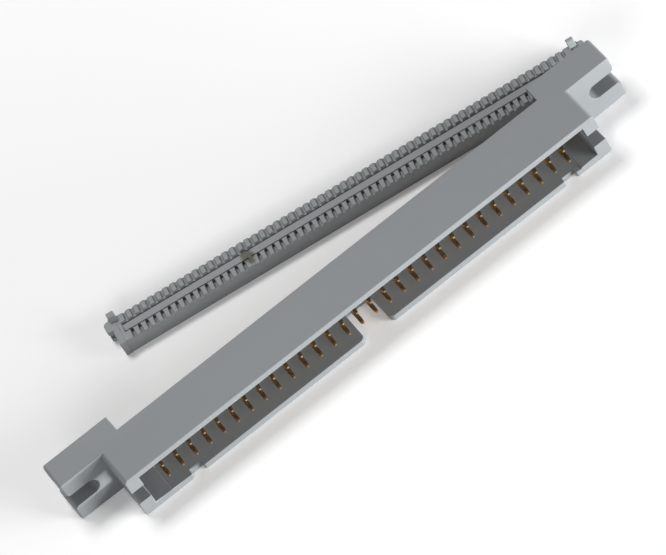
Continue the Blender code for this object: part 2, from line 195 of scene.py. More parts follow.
def new_object(name: str, data: bpy.types.ID) -> bpy.types.Object:
    """Return a new object that is part of the scene."""
    item = bpy.data.objects.new(name, data)
    bpy.context.scene.collection.objects.link(item)
    return item


def as_object(shape: Shape, name: str) -> bpy.types.Object:
    """Turn a shape into an object of the scene with its faces outwards.

    Args:
        shape: The shape, which is freed.
        name: The object's name.

    Returns:
        The new object.
    """
    bmesh.ops.recalc_face_normals(shape, faces=shape.faces)
    data = bpy.data.meshes.new(name)
    shape.to_mesh(data)
    shape.free()
    return new_object(name, data)


def evaluated_mesh(item: bpy.types.Object) -> bpy.types.Mesh:
    """Apply an object's modifiers.

    Args:
        item: The object, which is removed.

    Returns:
        Its mesh as the modifiers leave it.
    """
    bpy.context.view_layer.update()
    graph = bpy.context.evaluated_depsgraph_get()
    mesh = bpy.data.meshes.new_from_object(item.evaluated_get(graph))
    bpy.data.objects.remove(item, do_unlink=True)
    return mesh


def combined(base: Shape, steps: Sequence[tuple[Step, Shape]]) -> Shape:
    """Cut and join shapes one after another.

    Args:
        base: The shape that the steps start from, which is freed.
        steps: What each further shape does. They are freed too.

    Returns:
        The result with its doubles merged and its flat faces whole.
    """
    body = as_object(base, "body")
    tools = []
    for number, (step, shape) in enumerate(steps):
        tool = as_object(shape, f"tool_{number}")
        modifier = body.modifiers.new(tool.name, "BOOLEAN")
        modifier.operation = step.value
        modifier.solver = "EXACT"
        modifier.object = tool
        tools.append(tool)
    mesh = evaluated_mesh(body)
    for tool in tools:
        bpy.data.objects.remove(tool, do_unlink=True)
    result = bmesh.new()
    result.from_mesh(mesh)
    bpy.data.meshes.remove(mesh)
    bmesh.ops.remove_doubles(result, verts=result.verts, dist=MERGE_DISTANCE)
    bmesh.ops.dissolve_limit(result, angle_limit=FLAT_ANGLE, verts=result.verts,
                             edges=result.edges)
    return result


def softened(shape: Shape, width: float,
             share: Callable[[bmesh.types.BMEdge, Vector], float]) -> bpy.types.Mesh:
    """Give a shape the small rounded edges of a moulding or a stamping.

    Args:
        shape: The shape, which is freed.
        width: The rounding where the share is 1.
        share: Gives an outer edge's share of that width from the edge and its middle.

    Returns:
        The finished mesh, in millimetres, shaded smooth between its edges.
    """
    weights = shape.edges.layers.float.new("bevel_weight_edge")
    for face in shape.faces:
        face.smooth = True
    for edge in shape.edges:
        sharp = edge.is_manifold and edge.calc_face_angle() > SHARP_ANGLE
        middle = (edge.verts[0].co + edge.verts[1].co) / 2
        edge[weights] = share(edge, middle) if sharp and edge.is_convex else 0.0
        edge.smooth = not sharp or edge[weights] > 0.0
    item = as_object(shape, "softened")
    modifier = item.modifiers.new("rounding", "BEVEL")
    modifier.limit_method = "WEIGHT"
    modifier.width = width
    modifier.segments = ROUNDING_FACETS
    modifier.profile = 0.5
    modifier.use_clamp_overlap = False
    modifier.harden_normals = True
    return evaluated_mesh(item)


def add_piece(name: str, mesh: bpy.types.Mesh, material: bpy.types.Material,
              replaced: Sequence[str] = (),
              place: Matrix = Matrix()) -> None:
    """Put a finished mesh, with its place in it, into the scene as a piece.

    Args:
        name: The piece's name.
        mesh: The mesh in millimetres.
        material: The piece's finish.
        replaced: The solids that the piece stands for.
        place: Where the mesh goes, in millimetres.
    """
    mesh.transform(Matrix.Scale(MM, 4) @ place)
    mesh.materials.clear()
    mesh.materials.append(material)
    item = new_object(name, mesh)
    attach(item, ROOT_BODY)
    if replaced:
        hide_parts(*replaced)
    LOG.info("%s: %d faces, replaces %d", name, len(mesh.polygons), len(replaced))


class Signal:
    """A shader output that adds Math nodes when it is part of a sum."""

    def __init__(self, board: "Board", socket: bpy.types.NodeSocket) -> None:
        """Wrap one output socket of a board's node."""
        self.board = board
        self.socket = socket

    def other(self, output: str) -> "Signal":
        """Return another output of the same node."""
        return Signal(self.board, self.socket.node.outputs[output])

    def _maths(self, operation: str, first: "Value", second: "Value") -> "Signal":
        """Return the result of one Math node."""
        return self.board.node("ShaderNodeMath", {"operation": operation},
                               {0: first, 1: second})

    def __add__(self, other: "Value") -> "Signal":
        """Add a value."""
        return self._maths("ADD", self, other)

    __radd__ = __add__

    def __sub__(self, other: "Value") -> "Signal":
        """Take a value away."""
        return self._maths("SUBTRACT", self, other)

    def __rsub__(self, other: "Value") -> "Signal":
        """Take this signal away from a value."""
        return self._maths("SUBTRACT", other, self)

    def __mul__(self, other: "Value") -> "Signal":
        """Multiply by a value."""
        return self._maths("MULTIPLY", self, other)

    __rmul__ = __mul__

    def at_most(self, other: "Value") -> "Signal":
        """Return the lower of this and a value."""
        return self._maths("MINIMUM", self, other)

    def at_least(self, other: "Value") -> "Signal":
        """Return the higher of this and a value."""
        return self._maths("MAXIMUM", self, other)

    def clamped(self) -> "Signal":
        """Return this kept between 0 and 1."""
        return self.at_least(0.0).at_most(1.0)


Value = Signal | float | Sequence[float]


class Board:
    """The node board of a new material or world."""

    def __init__(self, owner: bpy.types.Material | bpy.types.World) -> None:
        """Take the owner's node tree and empty it."""
        owner.use_nodes = True
        self.owner = owner
        self.tree = owner.node_tree
        self.tree.nodes.clear()

    def node(self, kind: str, settings: dict | None = None,
             sockets: dict | None = None,
             output: int | str | None = 0) -> Signal | None:
        """Add a node.

        Args:
            kind: The node's type.
            settings: Its properties by name.
            sockets: Values or signals by the input's name or number.
            output: The output that is returned, or None where a node has none.

        Returns:
            That output as a signal, or None.
        """
        made = self.tree.nodes.new(kind)
        for key, value in (settings or {}).items():
            setattr(made, key, value)
        for key, value in (sockets or {}).items():
            if isinstance(value, Signal):
                self.tree.links.new(value.socket, made.inputs[key])
            else:
                made.inputs[key].default_value = value
        return None if output is None else Signal(self, made.outputs[output])

    def place(self) -> Signal:
        """Return the object coordinates, in metres."""
        return self.node("ShaderNodeTexCoord", output="Object")

    def noise(self, size: float, detail: float = 2.0, roughness: float = 0.5) -> Signal:
        """Return a noise between 0 and 1.

        Args:
            size: The width of its blotches in millimetres.
            detail: How many finer layers it has.
            roughness: How strong the finer layers are.

        Returns:
            The noise's factor.
        """
        return self.node("ShaderNodeTexNoise", {},
                         {"Vector": self.place(), "Scale": 1 / (size * MM),
                          "Detail": detail, "Roughness": roughness})

    def bump(self, height: Signal, depth: float, strength: float) -> Signal:
        """Return the normal of a bump whose depth is in millimetres."""
        return self.node("ShaderNodeBump", {},
                         {"Strength": strength, "Distance": depth * MM,
                          "Height": height}, output="Normal")

    def mix(self, factor: Value, first: Value, second: Value) -> Signal:
        """Return a colour between two others, which are the node's inputs 6 and 7."""
        return self.node("ShaderNodeMix", {"data_type": "RGBA"},
                         {0: factor, 6: first, 7: second}, output=2)

    def seen_directly(self) -> Signal:
        """Return 1 for rays of the camera and of mirrored or refracted views."""
        rays = self.node("ShaderNodeLightPath", output="Is Camera Ray")
        return rays.at_least(rays.other("Is Glossy Ray")).at_least(
            rays.other("Is Transmission Ray"))

    def finish(self, surface: Signal) -> bpy.types.Material | bpy.types.World:
        """Link the surface shader to the output and return the board's owner."""
        kind = "World" if isinstance(self.owner, bpy.types.World) else "Material"
        self.node(f"ShaderNodeOutput{kind}", {}, {"Surface": surface}, output=None)
        return self.owner


def shade(colour: Colour, factor: float) -> tuple[float, float, float, float]:
    """Return a colour made lighter or darker, with full alpha."""
    return (*(min(part * factor, 1.0) for part in colour), 1.0)


@dataclass(frozen=True)
class Stain:
    """A long discoloured spot on a moulding, in millimetres and degrees.

    It ends at `rim` times its reach, faded over 1 / `rim_slope` of it, and the rim
    wanders by `rim_wander` of it in blotches of `rim_size` millimetres.
    """

    centre: Place
    reach: Place
    turn: float
    colour: Colour
    strength: float
    rim: float = 1.25
    rim_slope: float = 2.2
    rim_wander: float = 0.9
    rim_size: float = 0.6

    def placed(self, place: Matrix) -> "Stain":
        """Return the spot as it is when its moulding is put in place."""
        return replace(self, centre=tuple(place @ Vector(self.centre)),
                       turn=self.turn + math.degrees(place.to_euler().z))

    def mask(self, board: Board) -> Signal:
        """Make the nodes that say where the spot is.

        Args:
            board: The board of the moulding's finish.

        Returns:
            The spot's strength inside it, fading to 0 round it.
        """
        spot = board.node("ShaderNodeMapping", {"vector_type": "TEXTURE"},
                          {"Vector": board.place(),
                           "Location": Vector(self.centre) * MM,
                           "Rotation": (0.0, 0.0, math.radians(self.turn)),
                           "Scale": Vector(self.reach) * MM})
        apart = board.node("ShaderNodeVectorMath", {"operation": "LENGTH"}, {0: spot},
                           output="Value")
        wander = (board.noise(self.rim_size, detail=3.0) - 0.5) * self.rim_wander
        inside = (self.rim - (apart + wander)) * self.rim_slope
        return inside.clamped() * self.strength


@dataclass(frozen=True)
class MouldedPlastic:
    """Grey filled plastic with a satin, faintly clouded surface."""

    name: str
    colour: Colour
    roughness: float = 0.46
    roughness_spread: float = 0.12
    refraction: float = 1.46
    clouding: float = 0.035
    cloud_size: float = 9.0
    speckle: float = 0.05
    speckle_size: float = 0.35
    speckle_contrast: float = 4.0
    speckle_light: float = 1.9
    grain_size: float = 0.16
    grain_height: float = 0.006
    grain_strength: float = 0.35
    stain: Stain | None = None

    def material(self) -> bpy.types.Material:
        """Return the finish as a material."""
        board = Board(bpy.data.materials.new(self.name))
        clouds = board.noise(self.cloud_size, detail=3.0)
        colour = board.mix(clouds, shade(self.colour, 1 - self.clouding),
                           shade(self.colour, 1 + self.clouding))
        flecks = board.noise(self.speckle_size, detail=4.0, roughness=0.65)
        fleck_mask = ((flecks - 0.5) * self.speckle_contrast).clamped()
        colour = board.mix(fleck_mask * self.speckle, colour,
                           shade(self.colour, self.speckle_light))
        if self.stain:
            colour = board.mix(self.stain.mask(board), colour,
                               (*self.stain.colour, 1.0))
        grain = board.noise(self.grain_size, detail=3.0, roughness=0.6)
        rough = self.roughness + (flecks - 0.5) * self.roughness_spread
        return board.finish(board.node(
            "ShaderNodeBsdfPrincipled", {},
            {"Base Color": colour, "Roughness": rough, "IOR": self.refraction,
             "Normal": board.bump(grain, self.grain_height, self.grain_strength)}))


@dataclass(frozen=True)
class GoldPlate:
    """Thin gold plating on a drawn and stamped copper alloy."""

    name: str
    bright: Colour
    deep: Colour
    roughness: float = 0.2
    roughness_spread: float = 0.16
    tarnish_size: float = 1.6
    drawn_size: float = 0.22
    drawn_height: float = 0.004
    drawn_strength: float = 0.1

    def material(self) -> bpy.types.Material:
        """Return the finish as a material."""
        board = Board(bpy.data.materials.new(self.name))
        tarnish = board.noise(self.tarnish_size, detail=3.0, roughness=0.6)
        colour = board.mix(tarnish, (*self.bright, 1.0), (*self.deep, 1.0))
        drawn = board.noise(self.drawn_size, detail=3.0, roughness=0.6)
        rough = self.roughness + (drawn - 0.5) * self.roughness_spread
        return board.finish(board.node(
            "ShaderNodeBsdfPrincipled", {},
            {"Base Color": colour, "Metallic": 1.0, "Roughness": rough,
             "Normal": board.bump(drawn, self.drawn_height, self.drawn_strength)}))


@dataclass(frozen=True)
class FloorPaper:
    """White paper whose lit parts are seen as plain white and that keeps shadows."""

    name: str = "white_paper"
    colour: Colour = (0.90, 0.90, 0.91)
    seen_colour: Colour = (0.97, 0.97, 0.97)
    lift: float = 0.09

    def material(self) -> bpy.types.Material:
        """Return the finish as a material."""
        board = Board(bpy.data.materials.new(self.name))
        seen = board.seen_directly()
        plain = board.node("ShaderNodeBsdfDiffuse", {}, {"Color": (*self.colour, 1.0)})
        white = board.node("ShaderNodeBsdfDiffuse", {},
                           {"Color": (*self.seen_colour, 1.0)})
        glow = board.node("ShaderNodeEmission", {},
                          {"Color": (1.0, 1.0, 1.0, 1.0), "Strength": self.lift})
        bright = board.node("ShaderNodeAddShader", {}, {0: white, 1: glow})
        return board.finish(board.node("ShaderNodeMixShader", {},
                                       {0: seen, 1: plain, 2: bright}))


@dataclass(frozen=True)
class HeaderSizes:
    """Sizes that the housing, its contacts and its cover share, in millimetres.

    The rim is the mating rim's Y, seen from the front faces of the ears.
    """

    columns: int = 30
    pitch: float = 2.54
    row_spacing: float = 2.54
    pin_side: float = 0.64
    tip_recess: float = 0.75
    cavity_height: float = 6.5
    cavity_depth: float = 6.4
    cavity_end_space: float = 3.87
    side_wall: float = 1.0
    end_wall: float = 2.25
    web: float = 2.7
    rim: float = -7.1
    contact_clearance: float = 0.05
    cover_width: float = 5.6
    cover_height: float = 2.7
    cover_end_margin: float = 0.4
    cover_end_block: float = 1.6
    cover_post: tuple[float, float, float] = (1.2, 0.95, 1.3)
    catch_reach: float = 0.93
    overrun: float = 0.5

    @property
    def wire_pitch(self) -> float:
        """Spacing of the cable's wires."""
        return self.pitch / 2

    @property
    def cavity_half(self) -> float:
        """Half the length of the mating cavity."""
        return (self.columns - 1) * self.pitch / 2 + self.cavity_end_space

    @property
    def block_half(self) -> float:
        """Half the length of the shroud block."""
        return self.cavity_half + self.end_wall

    @property
    def height(self) -> float:
        """Height of the block as it lies."""
        return self.cavity_height + 2 * self.side_wall

    @property
    def middle(self) -> float:
        """Height of the middle plane between the rows."""
        return self.height / 2

    @property
    def web_front(self) -> float:
        """Y of the cavity's floor."""
        return self.rim + self.cavity_depth

    @property
    def web_back(self) -> float:
        """Y of the web's cable side."""
        return self.web_front + self.web

    @property
    def grooved_half(self) -> float:
        """Half the length of the cover's grooved bar."""
        return self.columns * self.wire_pitch + self.cover_end_margin

    @property
    def cover_half(self) -> float:
        """Half the cover's length over its end blocks."""
        return self.grooved_half + self.cover_end_block

    @property
    def post_x(self) -> float:
        """Distance of the latch posts from the middle of the cover."""
        return self.cover_half - self.cover_end_block / 2

    @property
    def post_y(self) -> float:
        """Distance of the latch posts from the cover's long axis."""
        return self.cover_width / 2 - self.cover_post[1] / 2

    def column_x(self, column: float) -> float:
        """X of a contact column, counted from 1."""
        return (column - (self.columns + 1) / 2) * self.pitch


@dataclass
class Housing:
    """The moulded housing: a shroud block with a slotted ear at each end."""

    sizes: HeaderSizes
    finish: MouldedPlastic
    ear_reach: float = 7.53
    ear_depth: float = 5.4
    ear_round: float = 0.45
    ear_slot: tuple[float, float] = (2.72, 5.1)
    ear_slot_flare: float = 0.85
    outer_round: float = 0.65
    key_width: float = 4.6
    key_lip_round: float = 0.9
    lip_notch: tuple[float, float] = (2.0, 1.0)
    lip_notch_round: float = 0.3
    end_notch_height: float = 2.7
    end_notch_floor: float = 0.3
    pad: tuple[float, float] = (3.1, 0.08)
    cover_side_clearance: float = 0.25
    pocket_clearance: float = 0.3
    latch_clearance: float = 0.2
    latch_depth: float = 1.2
    edge_round: float = 0.13
    round_steps: int = 8
    slot_steps: int = 24
    mark_radius: float = 0.85
    mark_depth: float = 0.06
    mark_steps: int = 28
    mark_heights: tuple[float, float] = (0.22, 0.78)
    mark_facet: float = 0.25
    slot_zone: float = 5.5

    @property
    def recess_half(self) -> float:
        """Half the length of the recess that takes the cover."""
        return self.sizes.grooved_half + self.cover_side_clearance

    @property
    def pocket_half(self) -> float:
        """How far the pockets for the cover's ends reach."""
        return (self.sizes.cover_half + self.sizes.catch_reach
                + self.cover_side_clearance)

    @property
    def ear_end(self) -> float:
        """X of the ears' outer ends."""
        return self.sizes.block_half + self.ear_reach

    def block(self) -> Shape:
        """Return the long block with its rounded corners, still solid."""
        shape = bmesh.new()
        half = self.sizes.block_half
        add_box(shape, (-half, self.sizes.rim, 0),
                (half, self.sizes.web_back, self.sizes.height))
        round_edges(shape, edges_along(shape, [1]), self.outer_round,
                    self.round_steps)
        return shape

    def ears(self) -> Shape:
        """Return both ears, each from the recess to its rounded outer end."""
        shape = bmesh.new()
        add_box_pair(shape, (self.recess_half, 0, 0),
                     (self.ear_end, self.ear_depth, self.sizes.height))
        edges = edges_along(shape, (1, 2), self.ear_end - self.ear_round)
        round_edges(shape, edges, self.ear_round, self.round_steps)
        return shape

    def cavity(self) -> Shape:
        """Return the mating cavity, with the raised pad at each end of its wall."""
        sizes = self.sizes
        shape = bmesh.new()
        low, high = sizes.side_wall, sizes.height - sizes.side_wall
        half, (length, rise) = sizes.cavity_half, self.pad
        inner = half - length
        front = sizes.rim - sizes.overrun
        right = [(inner, low), (inner + rise, low + rise), (half, low + rise),
                 (half, high)]
        profile = [(-x, z) for x, z in reversed(right)] + right
        add_prism(shape, [(x, front, z) for x, z in profile],
                  (0, sizes.web_front - front, 0))
        return shape

    def ear_cuts(self) -> Shape:
        """Return the ears' open slots and the pockets for the cover's ends."""
        sizes = self.sizes
        shape = bmesh.new()
        radius, flare = self.ear_slot[0] / 2, self.ear_slot_flare
        centre = self.ear_end - self.ear_slot[1] + radius
        reach = sizes.cover_width / 2 + self.pocket_clearance
        low = sizes.middle - radius - flare
        mouth = arc((self.ear_end - flare, low), flare, 90, 0, self.round_steps)
        mouth.append((self.ear_end + sizes.overrun, low))
        mouth += [(x, 2 * sizes.middle - z) for x, z in reversed(mouth)]
        slot = arc((centre, sizes.middle), radius, 90, 270, self.slot_steps) + mouth
        for side in (-1, 1):
            add_prism(shape, [(side * x, -sizes.overrun, z) for x, z in slot],
                      (0, self.ear_depth + 2 * sizes.overrun, 0))
        add_box_pair(shape, (self.recess_half - sizes.overrun, sizes.web_back,
                             sizes.middle - reach),
                     (self.pocket_half, self.ear_depth + sizes.overrun,
                      sizes.middle + reach))
        return shape

    def flared_outline(self, half: float, floor: float, flare: float) -> list[Point]:
        """Draw the plan of a cut from the rim whose mouth corners are rounded.

        Args:
            half: Half the cut's width.
            floor: Y of its floor.
            flare: The radius of its mouth's corners.

        Returns:
            The outline's points in X and Y.
        """
        rim = self.sizes.rim
        left = arc((-half - flare, rim + flare), flare, -90, 0, self.round_steps)
        right = [(-x, y) for x, y in reversed(left)]
        edge, outside = half + flare, rim - self.sizes.overrun
        return [(-edge, outside), *left, (-half, floor), (half, floor), *right,
                (edge, outside)]

    def wall_cuts(self) -> Shape:
        """Return the key slot, lip notches, end notches and latch holes."""
        sizes = self.sizes
        shape = bmesh.new()
        below = -sizes.overrun
        rise = (0, 0, sizes.side_wall + self.pad[1] + 2 * sizes.overrun)
        key = self.flared_outline(self.key_width / 2, sizes.web_front,
                                  self.key_lip_round)
        add_prism(shape, [(x, y, below) for x, y in key], rise)
        width, depth = self.lip_notch
        notch = self.flared_outline(width / 2, sizes.rim + depth, self.lip_notch_round)
        for column in (2.5, sizes.columns - 0.5):
            middle = sizes.column_x(column)
            add_prism(shape, [(middle + x, y, below) for x, y in notch], rise)
        notch_half = self.end_notch_height / 2
        hole_x = sizes.cover_post[0] / 2 + self.latch_clearance
        hole_z = sizes.cover_post[1] / 2 + self.latch_clearance
        post_z = sizes.middle + sizes.post_y
        add_box_pair(shape, (sizes.cavity_half - sizes.overrun,
                             sizes.rim - sizes.overrun, sizes.middle - notch_half),
                     (sizes.block_half + sizes.overrun,
                      sizes.web_front - self.end_notch_floor,
                      sizes.middle + notch_half))
        add_box_pair(shape, (sizes.post_x - hole_x, sizes.web_back - self.latch_depth,
                             post_z - hole_z),
                     (sizes.post_x + hole_x, sizes.web_back + sizes.overrun,
                      post_z + hole_z))
        return shape

    def web_holes(self) -> Shape:
        """Return the square holes through the web, one for each contact."""
        sizes = self.sizes
        shape = bmesh.new()
        half = sizes.pin_side / 2 + sizes.contact_clearance
        for row in Row:
            z = sizes.middle + row.value * sizes.row_spacing / 2
            for column in range(1, sizes.columns + 1):
                x = sizes.column_x(column)
                add_box(shape, (x - half, sizes.web_front - sizes.overrun, z - half),
                        (x + half, sizes.web_back + sizes.overrun, z + half))
        return shape

    def ejector_marks(self) -> Shape:
        """Return the shallow round marks that ejector pins leave on the ears' backs."""
        shape = bmesh.new()
        x = (self.pocket_half + self.ear_end - self.ear_slot[1]) / 2
        turn = Matrix.Rotation(math.pi / 2, 4, "X")
        for side in (-1, 1):
            for share in self.mark_heights:
                place = Matrix.Translation((side * x, self.ear_depth,
                                            self.sizes.height * share))
                add_rod(shape, self.mark_radius, 2 * self.mark_depth, self.mark_steps,
                        place @ turn)
        return shape

    def edge_share(self, edge: bmesh.types.BMEdge, middle: Vector) -> float:
        """Leave the web's holes and the ejector marks as they are cut.

        Args:
            edge: An outer edge of the housing.
            middle: The edge's middle.

        Returns:
            The edge's share of the rounding.
        """
        sizes = self.sizes
        on_web = min(abs(middle.y - sizes.web_front), abs(middle.y - sizes.web_back))
        if on_web < TOUCHING and abs(middle.x) < sizes.cavity_half:
            return 0.0
        at_marks = (abs(middle.y - self.ear_depth) < self.mark_depth * 1.5
                    and abs(middle.x) < self.ear_end - self.slot_zone)
        return 0.0 if at_marks and edge.calc_length() < self.mark_facet else 1.0

    def build(self) -> None:
        """Model the housing and put it in place of its solid."""
        shape = combined(self.block(), [
            (Step.JOIN, self.ears()), (Step.CUT, self.cavity()),
            (Step.CUT, self.ear_cuts()), (Step.CUT, self.wall_cuts()),
            (Step.CUT, self.web_holes()), (Step.CUT, self.ejector_marks())])
        mesh = softened(shape, self.edge_round, self.edge_share)
        add_piece("moulded_housing", mesh, self.finish.material(),
                  ["header_housing"])


@dataclass
class Contact:
    """A contact: a square pin with a coined tip, a shoulder and a forked blade."""

    sizes: HeaderSizes
    finish: GoldPlate
    blade_thickness: float = 0.30
    blade_width: float = 1.80
    blade_length: float = 2.25
    blade_offset: float = 0.86
    fork_slot: tuple[float, float] = (0.24, 1.70)
    fork_mouth: tuple[float, float] = (0.90, 0.45)
    fork_tip_slope: float = 0.25
    shoulder_length: float = 0.45
    shoulder_edge: float = 0.06
    tip_length: float = 0.85
    tip_angle: float = 62.0
    tip_steps: int = 6
    pin_edge: float = 0.07
    pin_edge_steps: int = 2
    fork_slot_steps: int = 8
    edge_round: float = 0.03

    @property
    def root(self) -> float:
        """Y of the shoulder's front, just behind the web."""
        return self.sizes.web_back + self.sizes.contact_clearance

    @property
    def blade_low(self) -> float:
        """Height of the blade's lower face over the contact's axis."""
        return (self.blade_offset - self.sizes.row_spacing / 2
                - self.blade_thickness / 2)

    def pin(self) -> Shape:
        """Return the pin with rounded edges and a bullet-shaped tip."""
        shape = bmesh.new()
        start = self.sizes.rim + self.sizes.tip_recess + self.tip_length
        half = self.sizes.pin_side / 2
        add_box(shape, (-half, start, -half),
                (half, self.root + self.shoulder_length / 2, half))
        round_edges(shape, edges_along(shape, [1]), self.pin_edge, self.pin_edge_steps)
        shape.faces.ensure_lookup_table()
        front = min(shape.faces, key=lambda face: face.calc_center_median().y)
        last_size, last_reach = 1.0, 0.0
        for step in range(1, self.tip_steps + 1):
            angle = math.radians(self.tip_angle * step / self.tip_steps)
            size = math.cos(angle)
            reach = self.tip_length * step / self.tip_steps
            grown = bmesh.ops.extrude_face_region(shape, geom=[front])["geom"]
            bmesh.ops.delete(shape, geom=[front], context="FACES_ONLY")
            front = next(item for item in grown if isinstance(item, bmesh.types.BMFace))
            verts = list(front.verts)
            bmesh.ops.translate(shape, verts=verts, vec=(0, last_reach - reach, 0))
            bmesh.ops.scale(shape, verts=verts,
                            vec=(size / last_size, 1, size / last_size))
            last_size, last_reach = size, reach
        return shape

    def blade(self) -> Shape:
        """Return the forked blade, its slot open towards the cable."""
        shape = bmesh.new()
        start = self.root + self.shoulder_length / 2
        end = self.root + self.shoulder_length + self.blade_length
        half, slot = self.blade_width / 2, self.fork_slot[0] / 2
        mouth, mouth_floor = self.fork_mouth[0] / 2, end - self.fork_mouth[1]
        floor = end - self.fork_slot[1] + slot
        right = [(half, start), (half, end - self.fork_tip_slope),
                 (half - self.fork_tip_slope, end), (mouth, end), (slot, mouth_floor)]
        bottom = arc((0.0, floor), slot, 0, -180, self.fork_slot_steps)
        outline = right + bottom + [(-x, y) for x, y in reversed(right)]
        shift = self.sizes.wire_pitch / 2
        add_prism(shape, [(x - shift, y, self.blade_low) for x, y in outline],
                  (0, 0, self.blade_thickness))
        return shape

    def shoulder(self) -> Shape:
        """Return the block that joins the pin to the offset blade."""
        shape = bmesh.new()
        low_x = -self.sizes.wire_pitch / 2 - self.blade_width / 2 - self.shoulder_edge
        high = self.sizes.pin_side / 2 + self.shoulder_edge
        add_box(shape, (low_x, self.root, self.blade_low - self.shoulder_edge),
                (high, self.root + self.shoulder_length, high))
        return shape

    def mesh(self) -> bpy.types.Mesh:
        """Return the contact's mesh on its own axis."""
        shape = combined(self.shoulder(), [(Step.JOIN, self.pin()),
                                           (Step.JOIN, self.blade())])
        return softened(shape, self.edge_round, self.edge_share)

    def edge_share(self, edge: bmesh.types.BMEdge, middle: Vector) -> float:
        """Round only the stamped blade and the shoulder."""
        return 1.0 if middle.y > self.root + TOUCHING else 0.0

    def build(self, solids: Iterable[str]) -> None:
        """Make all contacts of both rows.

        Args:
            solids: The names of the solids that exist.
        """
        shared = self.mesh()
        material = self.finish.material()
        known = set(solids)
        for row in Row:
            height = self.sizes.middle + row.value * self.sizes.row_spacing / 2
            turn = Matrix() if row is Row.UPPER else Matrix.Rotation(math.pi, 4, "Y")
            for column in range(1, self.sizes.columns + 1):
                name = f"{row.name.lower()}_{column:02d}"
                solid = f"contact_{name}"
                place = Matrix.Translation((self.sizes.column_x(column), 0, height))
                add_piece(f"plated_contact_{name}", shared.copy(), material,
                          [solid] if solid in known else [],
                          place @ turn)
        bpy.data.meshes.remove(shared)


